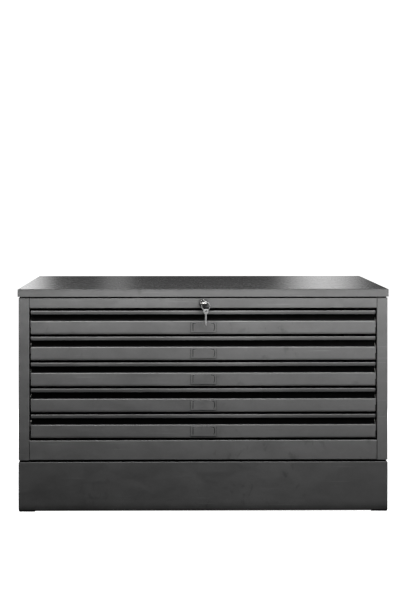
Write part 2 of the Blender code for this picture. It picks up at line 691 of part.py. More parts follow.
def make_locking_bar():
    """Upright bar with a hook for each tray and a slot for the crank pin."""
    front, rear = FRONT + BAR_FRONT, FRONT + BAR_FRONT + BAR_THICKNESS
    lip_tops = [FIRST_LIP_TOP - i * DRAWER_PITCH for i in range(DRAWER_COUNT)]
    bottom = lip_tops[-1] - HOOK_TOP_DROP - 2 * HOOK_ARM
    bar = box("locking_bar", (-BAR_HALF_WIDTH, front, bottom), (BAR_HALF_WIDTH, rear, BAR_HEAD_BOTTOM + HOOK_ARM))
    fuse(bar, box("head", (-BAR_HEAD_HALF_WIDTH, front, BAR_HEAD_BOTTOM), (BAR_HEAD_HALF_WIDTH, rear, BAR_TOP)))
    hook = FRONT + HOOK_FRONT
    for lip_top in lip_tops:
        top, tip = lip_top - HOOK_TOP_DROP, lip_top - HOOK_TIP_DROP
        fuse(bar,
             box("arm", (-HOOK_HALF_WIDTH, hook, top - HOOK_ARM), (HOOK_HALF_WIDTH, front + SHEET, top)),
             box("finger", (-HOOK_HALF_WIDTH, hook, tip), (HOOK_HALF_WIDTH, hook + HOOK_FINGER, top)))
    reach = CRANK_THROW * math.sqrt(2) + CRANK_PIN_RADIUS + BAR_SLOT_PLAY
    near = CRANK_THROW - CRANK_PIN_RADIUS - BAR_SLOT_PLAY
    half = CRANK_PIN_RADIUS + BAR_SLOT_PLAY
    level = LOCK_Z + CRANK_THROW
    cut(bar, box("slot", (near, front - SHEET, level - half), (reach, rear + SHEET, level + half)))
    set_material(bar, ZINC)


def make_rear_supports():
    """Boxed bracket that carries the shaft and crank, and the block that guides the bar."""
    rear = BACK - SHEET - GAP
    wall = BRACKET_WALL
    half = BRACKET_HALF_WIDTH
    front = FRONT + BRACKET_FRONT
    bracket = box("shaft_bracket", (-half, front, BRACKET_BOTTOM), (half, rear, BRACKET_TOP))
    cut(bracket,
        box("inside", (wall - half, front + wall, BRACKET_BOTTOM - wall), (half - wall, rear - wall, BRACKET_TOP + wall)),
        cylinder("bearing", (0, front, LOCK_Z), BRACKET_HOLE, 4 * wall, "Y", HUB_STEPS))
    set_material(bracket, ZINC)

    guide = box("bar_guide", (-GUIDE_HALF_WIDTH, FRONT + GUIDE_FRONT, GUIDE_BOTTOM),
                (GUIDE_HALF_WIDTH, rear, GUIDE_TOP))
    half = BAR_HALF_WIDTH + GUIDE_PLAY
    cut(guide, box("slot", (-half, FRONT + BAR_FRONT - GUIDE_PLAY, GUIDE_BOTTOM - wall),
                   (half, FRONT + BAR_FRONT + BAR_THICKNESS + GUIDE_PLAY, GUIDE_TOP + wall)))
    set_material(guide, NYLON)


# ---------------------------------------------------------------- keys

def ellipse(centre_u, half_u, half_v, steps):
    turns = [math.tau * step / steps for step in range(steps)]
    return [(half_v * math.sin(turn), centre_u + half_u * math.cos(turn)) for turn in turns]


def make_key(name):
    """Flat key in the local X, Z plane: blade tip at the origin, bow upwards."""
    half = KEY_THICKNESS / 2
    blade, neck, nib = KEY_BLADE_HALF, KEY_NECK_HALF, KEY_BLADE_HALF / 2
    outline = [(-nib, 0), (nib, 0), (blade, nib)]
    for step, depth in enumerate(KEY_CUT_DEPTHS):
        foot = KEY_CUTS_START + KEY_CUTS_PITCH * step
        outline += [(blade, foot - KEY_CUT_HALF_WIDTH), (blade - depth, foot), (blade, foot + KEY_CUT_HALF_WIDTH)]
    outline += [(blade, KEY_BLADE_LENGTH), (neck, KEY_BLADE_LENGTH + KEY_NECK_LENGTH),
                (-neck, KEY_BLADE_LENGTH + KEY_NECK_LENGTH), (-blade, KEY_BLADE_LENGTH), (-blade, nib)]
    key = extrude(name, outline, "Y", -half, half)
    bow = ellipse(KEY_BOW_CENTRE, KEY_BOW_HALF_LENGTH, KEY_BOW_HALF_WIDTH, KEY_BOW_STEPS)
    hole = ellipse(KEY_HOLE_CENTRE, KEY_HOLE_HALF_LENGTH, KEY_HOLE_HALF_WIDTH, KEY_HOLE_STEPS)
    fuse(key, extrude("bow", bow, "Y", -half, half))
    cut(key, extrude("hole", hole, "Y", -2 * half, 2 * half))
    shade_round(key)
    return key


def make_keys(turn):
    """Key in the lock, its split ring, and the spare hanging from the ring."""
    pull = joint_empty("key_pull", (0, FRONT, LOCK_Z), turn)
    key = make_key("key")
    lay_level = Matrix.Rotation(math.pi / 2, 4, "X")
    tip = Vector((0, FRONT - KEY_SHOULDER + KEY_BLADE_LENGTH, LOCK_Z))
    key.data.transform(lay_level)
    key.data.transform(Matrix.Translation(tip - pull.location))
    key.location = pull.location
    set_material(key, BRIGHT_STEEL)
    ride(key, pull)

    bow_half = KEY_BOW_HALF_WIDTH * math.sqrt(1 - ((KEY_HOLE_CENTRE - KEY_BOW_CENTRE) / KEY_BOW_HALF_LENGTH) ** 2)
    rim_middle = (KEY_HOLE_HALF_WIDTH + bow_half) / 2
    centre = Vector((rim_middle, KEY_HOLE_Y, LOCK_Z - RING_HANG))
    swing = joint_empty("key_ring_swing", (RING_PIVOT[0], KEY_HOLE_Y, LOCK_Z + RING_PIVOT[1]), pull)
    wire = [math.tau * step / RING_WIRE_STEPS for step in range(RING_WIRE_STEPS)]
    section = [(RING_RADIUS + RING_WIRE * math.cos(a), RING_WIRE * math.sin(a)) for a in wire]
    ring = turned_ring("key_ring", section, "Y", RING_STEPS)
    ring.location = centre
    shade_round(ring)
    move_origin(ring, swing.location)
    set_material(ring, BRIGHT_STEEL)
    ride(ring, swing)

    pivot = centre - Vector((0, 0, RING_RADIUS))
    hang = joint_empty("spare_key_swing", pivot, swing)
    spare = make_key("spare_key")
    hole_top = KEY_HOLE_CENTRE + KEY_HOLE_HALF_LENGTH
    spare.data.transform(Matrix.Translation((0, 0, RING_TO_HOLE_EDGE - hole_top)))
    spare.data.transform(Matrix.Rotation(SPARE_KEY_YAW, 4, "Z"))
    spare.location = pivot
    set_material(spare, BRIGHT_STEEL)
    ride(spare, hang)


def build():
    clear_scene()
    make_top_panel()
    make_side_panel("left_side_panel", -1)
    make_side_panel("right_side_panel", 1)
    make_back_panel()
    make_top_rail()
    make_bottom_rail()
    make_floor_panel()
    make_plinth()
    make_foot_pads()
    for number in range(1, DRAWER_COUNT + 1):
        make_drawer(number)
    make_lock_housing()
    turn = joint_empty("lock_turn", (0, FRONT, LOCK_Z))
    make_lock_plug(turn)
    make_lock_shaft(turn)
    make_lock_crank(turn)
    make_locking_bar()
    make_rear_supports()
    make_keys(turn)


build()
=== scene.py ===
"""Looks of a black steel plan chest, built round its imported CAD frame.

Metres, in the CAD frame: +X to the right, -Y to the front, +Z up. The CAD nodes give every shape
that the chest has; this script gives them their finishes and adds the small fixed trim.
"""
import json
import math

import bmesh
import bpy
from mathutils import Matrix, Vector


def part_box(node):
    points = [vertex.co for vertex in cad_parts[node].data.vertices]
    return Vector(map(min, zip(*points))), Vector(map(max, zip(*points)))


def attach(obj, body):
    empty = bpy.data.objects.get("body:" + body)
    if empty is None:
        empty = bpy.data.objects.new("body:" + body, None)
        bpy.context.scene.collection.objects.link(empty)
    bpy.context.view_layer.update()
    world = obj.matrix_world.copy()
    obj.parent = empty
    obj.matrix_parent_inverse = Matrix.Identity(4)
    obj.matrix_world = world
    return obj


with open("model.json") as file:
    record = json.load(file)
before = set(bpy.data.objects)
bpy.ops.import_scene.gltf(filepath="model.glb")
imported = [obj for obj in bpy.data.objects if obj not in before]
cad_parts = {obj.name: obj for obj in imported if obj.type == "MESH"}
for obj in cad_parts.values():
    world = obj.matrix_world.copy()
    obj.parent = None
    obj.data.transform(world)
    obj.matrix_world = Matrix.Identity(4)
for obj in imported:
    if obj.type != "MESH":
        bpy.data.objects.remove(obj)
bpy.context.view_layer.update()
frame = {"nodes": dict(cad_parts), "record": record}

NODES = frame["nodes"]
DRAWERS = range(1, 6)
SIDES = (("left", -1), ("right", 1))

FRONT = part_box("top_rail")[0].y
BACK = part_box("back_panel")[1].y
LABEL_LOW, LABEL_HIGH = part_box("drawer_1_label_holder")
DRAWER_PITCH = LABEL_LOW.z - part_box("drawer_2_label_holder")[0].z

SMOOTH_ANGLE = math.radians(38)     # bends turned by less than this are shaded smooth
PAINT_EASE = 0.0009                 # radius that paint gives an edge
METAL_EASE = 0.0005                 # radius of the edges of metal and moulded pieces
SHADE_GREY = 0.010                        # grey of the painted shade in recesses, gaps and slits
SEATED = 0.0001                     # gap under a piece that rests on another


# ---------------------------------------------------------------- shader helpers

class Tree:
    """A node tree with short calls: add(kind, {input: value or socket}, attribute=value)."""

    def __init__(self, tree):
        self.tree = tree

    def add(self, kind, inputs=None, **settings):
        made = self.tree.nodes.new(kind)
        for key, value in settings.items():
            setattr(made, key, value)
        for key, value in (inputs or {}).items():
            socket = made.inputs[key]
            if isinstance(value, bpy.types.NodeSocket):
                self.tree.links.new(value, socket)
            else:
                socket.default_value = value
        return made

    def math(self, operation, first, second=0.0, clamp=False):
        made = self.add("ShaderNodeMath", {0: first, 1: second}, operation=operation, use_clamp=clamp)
        return made.outputs[0]

    def noise(self, vector, scale, detail=2.0, roughness=0.5, distortion=0.0):
        made = self.add("ShaderNodeTexNoise", {"Vector": vector, "Scale": scale, "Detail": detail,
                                               "Roughness": roughness, "Distortion": distortion})
        return made.outputs["Fac"]

    def span(self, value, low, high, to_low=0.0, to_high=1.0):
        """Map a value from low..high to to_low..to_high, held at the ends."""
        made = self.add("ShaderNodeMapRange", {"Value": value, "From Min": low, "From Max": high,
                                               "To Min": to_low, "To Max": to_high})
        return made.outputs["Result"]

    def blend(self, factor, first, second):
        made = self.add("ShaderNodeMix", {0: factor, 6: first, 7: second}, data_type="RGBA")
        return made.outputs[2]

    def stretched(self, vector, scale, turn=(0.0, 0.0, 0.0)):
        made = self.add("ShaderNodeMapping", {"Vector": vector, "Scale": scale, "Rotation": turn})
        return made.outputs["Vector"]


def grey(value, warmth=0.0):
    return (value * (1 + warmth), value, value * (1 - warmth), 1.0)


def new_material(name):
    """A new node material, its tree, its shader and its place in the CAD frame."""
    material = bpy.data.materials.new(name)
    material.use_nodes = True
    tree = Tree(material.node_tree)
    shader = material.node_tree.nodes["Principled BSDF"]
    place = tree.add("ShaderNodeTexCoord").outputs["Object"]
    return material, tree, shader, place


def edge_mask(tree, radius):
    """How far the surface turns within a radius: 0 on flats, 1 on edges. Also gives the eased normal."""
    eased = tree.add("ShaderNodeBevel", {"Radius": radius}, samples=6).outputs["Normal"]
    flat = tree.add("ShaderNodeNewGeometry").outputs["Normal"]
    facing = tree.add("ShaderNodeVectorMath", {0: eased, 1: flat}, operation="DOT_PRODUCT").outputs["Value"]
    return tree.span(facing, 0.98, 0.84), eased


def open_mask(tree):
    """1 where the surface lies open, 0 deep in a recess, gap or slit."""
    seen = tree.add("ShaderNodeAmbientOcclusion", {"Distance": 0.030}, samples=8).outputs["AO"]
    return tree.span(seen, 0.45, 0.95)


def connect(tree, shader, **inputs):
    """Links sockets to the shader's inputs, whose spaces are written as underscores."""
    for name, socket in inputs.items():
        tree.tree.links.new(socket, shader.inputs[name.replace("_", " ")])


# ---------------------------------------------------------------- finishes

def paint(name, dark, pale, rough, seed, wear=0.5, dust=0.25, peel=0.06, haze=0.08,
          unlit=None, shown=None, shaded_lip=None, top=None):
    """Baked enamel: cloudy tone, smudges, fine scratches, orange peel, dust on top and worn edges, with
    painted shade in recesses, gaps and slits, on the lips and on surfaces that face up.

    Dark and pale are the greys that it clouds between, and seed shifts its patterns. Wear is how
    bright rubbed edges get, dust how much lies on top, peel the depth of the orange peel, and haze
    how far smudges change the gloss.
    Three optional markers, each called with (tree, place): the first marks the finger recess and label slits
    that get painted near-black shade, the second what stays free of painted shade in a narrow place, and the
    third the painted shade on a drawer's lip, weaker across its middle, where that leaves a painted
    highlight.
    Top is the (grey, roughness) of surfaces that face up: the grey is painted shade that darkens them, and
    the roughness is the smoother gloss that wiping gives them.
    """
    material, tree, shader, place = new_material(name)
    recess_shade = unlit(tree, place) if unlit else None
    shade_free = shown(tree, place) if shown else None
    grime = shaded_lip(tree, place) if shaded_lip else None
    place = tree.add("ShaderNodeVectorMath", {0: place, 1: seed}, operation="ADD").outputs["Vector"]
    cloud = tree.noise(place, 3.2, 3.0, 0.55)
    smudge = tree.noise(tree.stretched(place, (1.0, 1.0, 1.8)), 19.0, 4.0, 0.62, 0.6)
    mottle = tree.noise(place, 140.0, 3.0, 0.6)
    tone = tree.math("ADD", tree.span(cloud, 0.3, 0.7, 0.0, 0.5), tree.span(smudge, 0.36, 0.68, 0.0, 0.34))
    tone = tree.math("ADD", tone, tree.span(mottle, 0.35, 0.65, 0.0, 0.16))
    colour = tree.blend(tone, grey(dark), grey(pale))

    # Painted shade on the lips, with a lighter painted highlight across their middle.
    if grime:
        colour = tree.blend(tree.math("MULTIPLY", grime, 0.55), colour, grey(dark * 0.3))

    stain = tree.noise(tree.stretched(place, (1.0, 1.0, 0.6), (0.0, 0.5, 0.0)), 34.0, 3.0, 0.55, 0.8)
    stain = tree.math("MULTIPLY", tree.span(stain, 0.60, 0.70), tree.span(cloud, 0.50, 0.60))
    colour = tree.blend(tree.math("MULTIPLY", stain, 0.45), colour, grey(dark * 0.4))

    streak = tree.noise(tree.stretched(place, (5.0, 90.0, 420.0), (0.0, 0.12, 0.0)), 1.0, 2.0, 0.5)
    patch = tree.noise(place, 7.0, 2.0)
    scratch = tree.math("MULTIPLY", tree.span(streak, 0.665, 0.70), tree.span(patch, 0.50, 0.62))
    colour = tree.blend(tree.math("MULTIPLY", scratch, 0.35), colour, grey(pale * 2.4))

    normal = tree.add("ShaderNodeNewGeometry").outputs["Normal"]
    up = tree.add("ShaderNodeSeparateXYZ", {0: normal}).outputs["Z"]
    # Painted shade: surfaces that face up are darkened to the top grey.
    if top:
        top_shade_and_polish = tree.span(up, 0.6, 0.95)
        colour = tree.blend(tree.math("MULTIPLY", top_shade_and_polish, 0.85), colour, grey(top[0]))
    lint = tree.math("MULTIPLY", tree.span(up, 0.6, 0.95), tree.span(mottle, 0.42, 0.62))
    colour = tree.blend(tree.math("MULTIPLY", lint, dust), colour, grey(0.20, 0.03))

    edge, eased = edge_mask(tree, PAINT_EASE)
    chip = tree.noise(place, 300.0, 3.0, 0.65)
    rub = tree.noise(place, 11.0, 2.0)
    worn = tree.math("MULTIPLY", tree.span(chip, 0.40, 0.60), tree.span(rub, 0.38, 0.66))
    worn = tree.math("ADD", tree.math("MULTIPLY", worn, wear), wear * 0.10)
    worn = tree.math("MULTIPLY", edge, worn)
    colour = tree.blend(worn, colour, grey(0.34, 0.02))

    # Painted shade: the colour goes to a near-black grey in recesses, gaps and slits, found by ambient
    # occlusion.
    bare = open_mask(tree)
    # Narrow places that the second marker picks out stay free of the painted shade.
    if shade_free:
        bare = tree.math("MAXIMUM", bare, shade_free)
    # Surfaces that face up stay free of the painted shade from ambient occlusion.
    if top:
        bare = tree.math("MAXIMUM", bare, top_shade_and_polish)
    # Painted shade: the finger recess and the patch behind the label holder go near-black.
    if recess_shade:
        bare = tree.math("MULTIPLY", bare, tree.span(recess_shade, 0.0, 1.0, 1.0, 0.0))
    colour = tree.blend(bare, grey(SHADE_GREY), colour)

    gloss = tree.span(smudge, 0.30, 0.70, rough - haze, rough + haze)
    if top:
        gloss = tree.math("ADD", gloss, tree.span(top_shade_and_polish, 0.0, 1.0, 0.0, top[1] - rough))
    gloss = tree.math("ADD", gloss, tree.span(bare, 0.0, 1.0, 0.35, 0.0))
    gloss = tree.math("ADD", gloss, tree.math("MULTIPLY", lint, dust * 0.6))
    gloss = tree.math("ADD", gloss, tree.math("MULTIPLY", scratch, 0.12), clamp=True)
    skin = tree.noise(place, 420.0, 2.0, 0.5)
    height = tree.math("ADD", tree.math("MULTIPLY", skin, 0.6), tree.math("MULTIPLY", mottle, 0.5))
    height = tree.math("SUBTRACT", height, tree.math("MULTIPLY", scratch, 0.5))
    bump = tree.add("ShaderNodeBump", {"Strength": peel, "Distance": 0.0006, "Height": height,
                                       "Normal": eased})
    # Painted shade: metallic goes to 1 where the colour is near-black shade, so that it barely reflects.
    painted_shade = tree.span(bare, 0.0, 1.0, 1.0, 0.0)
    connect(tree, shader, Base_Color=colour, Metallic=painted_shade, Roughness=gloss, Normal=bump.outputs["Normal"])
    return material


def metal(name, dark, pale, rough, grain=(40.0, 40.0, 40.0), warmth=0.0, brushed=0.3, wear=0.4,
          seed=(0, 0, 0)):
    """Plated or bare steel: cloudy plating, spangle, drawn grain and brighter edges."""
    material, tree, shader, place = new_material(name)
    shader.inputs["Metallic"].default_value = 1.0
    place = tree.add("ShaderNodeVectorMath", {0: place, 1: seed}, operation="ADD").outputs["Vector"]
    cloud = tree.noise(place, 60.0, 3.0, 0.6)
    spangle = tree.add("ShaderNodeTexVoronoi", {"Vector": place, "Scale": 190.0}, feature="F1")
    flake = tree.add("ShaderNodeSeparateColor", {0: spangle.outputs["Color"]}).outputs[0]
    lines = tree.noise(tree.stretched(place, grain), 12.0, 2.0)
    tone = tree.math("ADD", tree.math("MULTIPLY", cloud, 0.6), tree.math("MULTIPLY", flake, 0.25))
    tone = tree.math("ADD", tone, tree.math("MULTIPLY", lines, 0.2))
    colour = tree.blend(tree.span(tone, 0.25, 0.8), grey(dark, warmth), grey(pale, warmth))
    edge, eased = edge_mask(tree, METAL_EASE)
    colour = tree.blend(tree.math("MULTIPLY", edge, wear), colour, grey(min(pale * 1.35, 0.92), warmth))
    gloss = tree.math("ADD", tree.span(cloud, 0.3, 0.7, rough - 0.05, rough + 0.08),
                      tree.math("MULTIPLY", tree.span(lines, 0.4, 0.6), brushed * 0.2))
    bump = tree.add("ShaderNodeBump", {"Strength": brushed * 0.25, "Distance": 0.0003, "Height": lines,
                                       "Normal": eased})
    connect(tree, shader, Base_Color=colour, Roughness=gloss, Normal=bump.outputs["Normal"])
    return material


def moulded(name, dark, pale, rough, warmth=0.0, bump_scale=600.0, grime=0.3):
    """Nylon or rubber: faint cloud, fine moulded texture and grime."""
    material, tree, shader, place = new_material(name)
    cloud = tree.noise(place, 90.0, 3.0, 0.6)
    stain = tree.noise(place, 260.0, 4.0, 0.7)
    colour = tree.blend(tree.span(cloud, 0.3, 0.7), grey(dark, warmth), grey(pale, warmth))
    colour = tree.blend(tree.math("MULTIPLY", tree.span(stain, 0.52, 0.72), grime), colour, grey(0.05, 0.1))
    gloss = tree.span(stain, 0.3, 0.7, rough - 0.08, rough + 0.12)
    eased = edge_mask(tree, METAL_EASE)[1]
    texture = tree.noise(place, bump_scale, 2.0)
    bump = tree.add("ShaderNodeBump", {"Strength": 0.12, "Distance": 0.0004, "Height": texture,
                                       "Normal": eased})
    connect(tree, shader, Base_Color=colour, Roughness=gloss, Normal=bump.outputs["Normal"])
    return material


def drawer_spot(tree, place):
    """A place's X, Y and height above the foot of its drawer's label holder."""
    spot = tree.add("ShaderNodeSeparateXYZ", {0: place}).outputs
    below = LABEL_LOW.z - 8 * DRAWER_PITCH
    level = tree.math("FLOORED_MODULO", tree.math("SUBTRACT", spot["Z"], below), DRAWER_PITCH)
    return spot["X"], spot["Y"], level


def behind_face(tree, place):
    """Marks a drawer front's finger recess and the patch behind its label holder, seen through its slits, for
    painted near-black shade.
    """
    depth, under_lip, inset = (0.0010, 0.0035), (0.0465, 0.0490), 0.002
    half_height = (LABEL_HIGH.z - LABEL_LOW.z) / 2
    x, y, level = drawer_spot(tree, place)
    recess = tree.math("MULTIPLY", tree.span(y, FRONT + depth[0], FRONT + depth[1]),
                       tree.span(level, *under_lip, 1.0, 0.0))
    across = tree.math("LESS_THAN", tree.math("ABSOLUTE", x), LABEL_HIGH.x - inset)
    along = tree.math("COMPARE", level, half_height)
    along.node.inputs[2].default_value = half_height - inset
    return tree.math("MAXIMUM", recess, tree.math("MULTIPLY", across, along))


def holder_rim(tree, place):
    """Marks the outer edge of a label holder, which stays free of the painted shade."""
    width = 0.0008
    x, _, level = drawer_spot(tree, place)
    side = tree.math("GREATER_THAN", tree.math("ABSOLUTE", x), LABEL_HIGH.x - width)
    foot = tree.math("LESS_THAN", level, width)
    head = tree.math("GREATER_THAN", level, LABEL_HIGH.z - LABEL_LOW.z - width)
    return tree.math("MAXIMUM", side, tree.math("MAXIMUM", foot, head))


def lip_shade_with_highlight(tree, place):
    """Marks the lip along the top of a drawer front for painted shade, weaker across its middle, where that
    leaves a painted highlight.
    """
    lip_foot, highlight_left, highlight_right = (0.045, 0.048), (-0.16, 0.0), (0.12, 0.26)
    x, _, level = drawer_spot(tree, place)
    lip = tree.span(level, *lip_foot)
    highlight_band = tree.math("MULTIPLY", tree.span(x, *highlight_left), tree.span(x, *highlight_right, 1.0, 0.0))
    return tree.math("MULTIPLY", lip, tree.span(highlight_band, 0.0, 1.0, 1.0, 0.25))


def finishes():
    """Every finish of the chest, by the short name that dress_nodes gives it."""
    return {
        "carcass": paint("black_enamel_carcass", 0.046, 0.068, 0.40, (0.0, 0.0, 0.0)),
        "lid": paint("black_enamel_lid", 0.046, 0.068, 0.38, (3.1, 1.7, 0.4),
                     wear=0.1, dust=0.02, peel=0.004, haze=0.010, top=(0.028, 0.26)),
        "front": paint("black_enamel_front", 0.046, 0.068, 0.40, (1.3, 0.7, 2.2), wear=0.25,
                       unlit=behind_face, shaded_lip=lip_shade_with_highlight),
        "label": paint("black_enamel_label", 0.040, 0.070, 0.40, (2.3, 5.7, 1.2), wear=0.3, shown=holder_rim),
        "plinth": paint("black_enamel_plinth", 0.028, 0.043, 0.47, (5.3, 2.9, 1.1), wear=0.7, dust=0.3),
        "tray": paint("satin_tray_enamel", 0.036, 0.052, 0.52, (7.7, 4.1, 2.3), wear=0.5, dust=0.08),
        "zinc": metal("zinc_plate", 0.42, 0.60, 0.34, grain=(8.0, 1.0, 8.0)),
        "dark_steel": metal("blackened_steel", 0.05, 0.11, 0.30, wear=0.25),
        "chrome": metal("lock_face_chrome", 0.62, 0.80, 0.12, brushed=0.1),
        "bright": metal("nickel_plate", 0.52, 0.68, 0.20, grain=(6.0, 6.0, 60.0), warmth=0.02, brushed=0.35),
        "wire": metal("ring_wire", 0.24, 0.40, 0.40, wear=0.3, seed=(2.0, 0.0, 1.0)),
        "cut_steel": metal("spare_key_plate", 0.20, 0.34, 0.42, grain=(6.0, 6.0, 60.0), seed=(1.0, 3.0, 0.0)),
        "nylon": moulded("nylon", 0.62, 0.74, 0.42, warmth=0.03),
        "rubber": moulded("rubber", 0.012, 0.024, 0.72, grime=0.1, bump_scale=900.0),
    }


# ---------------------------------------------------------------- CAD nodes

def weld_group():
    """Geometry nodes that join a CAD mesh's triangles and shade it smooth, apart from sharp edges."""
    group = bpy.data.node_groups.new("welded", "GeometryNodeTree")
    group.interface.new_socket("Geometry", in_out="INPUT", socket_type="NodeSocketGeometry")
    group.interface.new_socket("Geometry", in_out="OUTPUT", socket_type="NodeSocketGeometry")
    tree = Tree(group)
    start = tree.add("NodeGroupInput").outputs[0]
    bare = tree.add("GeometryNodeRemoveAttribute", {"Geometry": start, "Name": "custom_normal"}).outputs[0]
    joined = tree.add("GeometryNodeMergeByDistance", {"Geometry": bare, "Distance": 2e-6}).outputs[0]
    smooth = tree.add("GeometryNodeSetShadeSmooth", {"Geometry": joined, "Shade Smooth": True},
                      domain="FACE").outputs[0]
    turn = tree.add("GeometryNodeInputMeshEdgeAngle").outputs["Unsigned Angle"]
    sharp = tree.add("FunctionNodeCompare", {"A": turn, "B": SMOOTH_ANGLE}, data_type="FLOAT",
                     operation="GREATER_THAN").outputs["Result"]
    done = tree.add("GeometryNodeSetShadeSmooth", {"Geometry": smooth, "Selection": sharp,
                                                   "Shade Smooth": False}, domain="EDGE").outputs[0]
    tree.add("NodeGroupOutput", {0: done})
    return group


def dress_nodes(look):
    """Give every CAD node its finish, by the first of these words in its name, and smooth bends."""
    welded = weld_group()
    by_word = (("tray", "tray"), ("roller", "nylon"), ("guide", "nylon"), ("foot_pad", "rubber"),
               ("rail_left", "zinc"), ("rail_right", "zinc"), ("housing", "dark_steel"), ("plug", "chrome"),
               ("key_ring", "wire"), ("spare_key", "cut_steel"), ("key", "bright"), ("label_holder", "label"),
               ("nut", "zinc"), ("shaft", "zinc"), ("crank", "zinc"), ("locking_bar", "zinc"),
               ("floor", "tray"), ("plinth", "plinth"), ("top_panel", "lid"), ("_front", "front"))
    for name, obj in NODES.items():
        finish = next((finish for word, finish in by_word if word in name), "carcass")
        for slot in obj.material_slots:
            slot.material = look[finish]
        obj.modifiers.new("welded", "NODES").node_group = welded
        evened = obj.modifiers.new("evened", "WEIGHTED_NORMAL")
        evened.mode = "FACE_AREA"
        evened.weight = 50
        evened.keep_sharp = True


# ---------------------------------------------------------------- trim

def finish_piece(name, bm, material, body):
    """Makes a piece from a bmesh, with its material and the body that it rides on."""
    bmesh.ops.recalc_face_normals(bm, faces=bm.faces)
    mesh = bpy.data.meshes.new(name)
    bm.to_mesh(mesh)
    bm.free()
    mesh.materials.append(material)
    mesh.shade_smooth()
    mesh.set_sharp_from_angle(angle=SMOOTH_ANGLE)
    piece = bpy.data.objects.new(name, mesh)
    bpy.context.scene.collection.objects.link(piece)
    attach(piece, body)


def rounded_block(bm, low, high, radius):
    """Adds a block with eased edges."""
    made = bmesh.ops.create_cube(bm, size=1.0)["verts"]
    low, high = Vector(low), Vector(high)
    bmesh.ops.scale(bm, vec=high - low, verts=made)
    bmesh.ops.translate(bm, vec=(low + high) / 2, verts=made)
    edges = list({edge for vert in made for edge in vert.link_edges})
    bmesh.ops.bevel(bm, geom=edges, offset=radius, segments=3, profile=0.5, affect="EDGES")


def ring_of_points(bm, matrix, radius, height, steps):
    """Adds a level ring of vertices round local Z."""
    turns = [math.tau * i / steps for i in range(steps)]
    return [bm.verts.new(matrix @ Vector((radius * math.cos(turn), radius * math.sin(turn), height)))
            for turn in turns]


def turned(bm, profile, matrix, steps=20):
    """Adds a solid of revolution about local Z from (radius, height) pairs that start and end at radius 0."""
    rings = []
    for radius, height in profile:
        rings.append(ring_of_points(bm, matrix, radius, height, steps if radius else 1))
    for low, high in zip(rings, rings[1:]):
        for i in range(steps):
            j = (i + 1) % steps
            if len(low) == 1:
                bm.faces.new((low[0], high[j], high[i]))
            elif len(high) == 1:
                bm.faces.new((low[i], low[j], high[0]))
            else:
                bm.faces.new((low[i], low[j], high[j], high[i]))


def screw_head(bm, matrix):
    """Adds a pan head with a cross recess, standing on local Z."""
    radius, height, steps = 0.0040, 0.0018, 20
    slot, reach, floor = radius * 0.13, radius * 0.56, height * 0.45
    outer = [(radius, 0.0), (radius * 0.97, height * 0.35), (radius * 0.82, height * 0.78),
             (radius * 0.62, height)]
    rings = [ring_of_points(bm, matrix, r, h, steps) for r, h in outer]
    for low, high in zip(rings, rings[1:]):
        for i in range(steps):
            j = (i + 1) % steps
            bm.faces.new((low[i], low[j], high[j], high[i]))
    bm.faces.new(rings[0][::-1])
    cross = []
    for quarter in range(4):
        turn = Matrix.Rotation(math.tau * quarter / 4, 3, "Z")
        cross += [turn @ Vector(corner) for corner in ((reach, -slot, 0), (reach, slot, 0), (slot, slot, 0))]
    top = [bm.verts.new(matrix @ Vector((p.x, p.y, height * 1.04))) for p in cross]
    base = [bm.verts.new(matrix @ Vector((p.x * 0.8, p.y * 0.8, floor))) for p in cross]
    for i in range(len(cross)):
        j = (i + 1) % len(cross)
        bm.faces.new((top[i], base[i], base[j], top[j]))
    bm.faces.new(base[::-1])
    rim = [edge for edge in bm.edges if len(edge.link_faces) == 1]
    bmesh.ops.triangle_fill(bm, edges=rim, use_beauty=True, use_dissolve=False)


def to_face(place, normal, turn=0.0):
    """A matrix that stands local Z along a normal at a place."""
    return (Matrix.Translation(place) @ Vector(normal).to_track_quat("Z", "Y").to_matrix().to_4x4()
            @ Matrix.Rotation(turn, 4, "Z"))


def add_glides(look):
    """Nylon glide pads on the front ends of the rails, under the trays' flanges."""
    half_width, start, length, under_flange = 0.0062, 0.004, 0.030, 0.0014
    for number in DRAWERS:
        flange_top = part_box(f"drawer_{number}_tray")[1].z
        for side_name, _ in SIDES:
            low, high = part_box(f"drawer_{number}_rail_{side_name}")
            middle = (low.x + high.x) / 2
            bm = bmesh.new()
            rounded_block(bm, (middle - half_width, low.y + start, high.z + SEATED),
                          (middle + half_width, low.y + start + length, flange_top - under_flange), 0.0007)
            finish_piece(f"glide_pad_{number}_{side_name}", bm, look["nylon"], "carcass")


def add_hems(look):
    """The hems: the trays' side flanges, folded back flat on top along their outer edges.

    A tray's box ends at its roller pins, which stand 1.5 mm out past the flanges.
    """
    pin_proud, width, thickness, front_gap, rear_gap = 0.0017, 0.0045, 0.0010, 0.002, 0.003
    openings = {opening["name"]: opening["box_m"] for opening in frame["record"]["physics"]["openings"]}
    for number in DRAWERS:
        low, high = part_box(f"drawer_{number}_tray")
        rear = openings[f"drawer_{number}_catch"][0][1]
        edge = high.x - pin_proud
        for side_name, side in SIDES:
            across = sorted((side * edge, side * (edge - width)))
            bm = bmesh.new()
            rounded_block(bm, (across[0], low.y + front_gap, high.z + SEATED),
                          (across[1], rear - rear_gap, high.z + SEATED + thickness), 0.00045)
            finish_piece(f"tray_hem_{number}_{side_name}", bm, look["tray"], f"drawer_{number}")


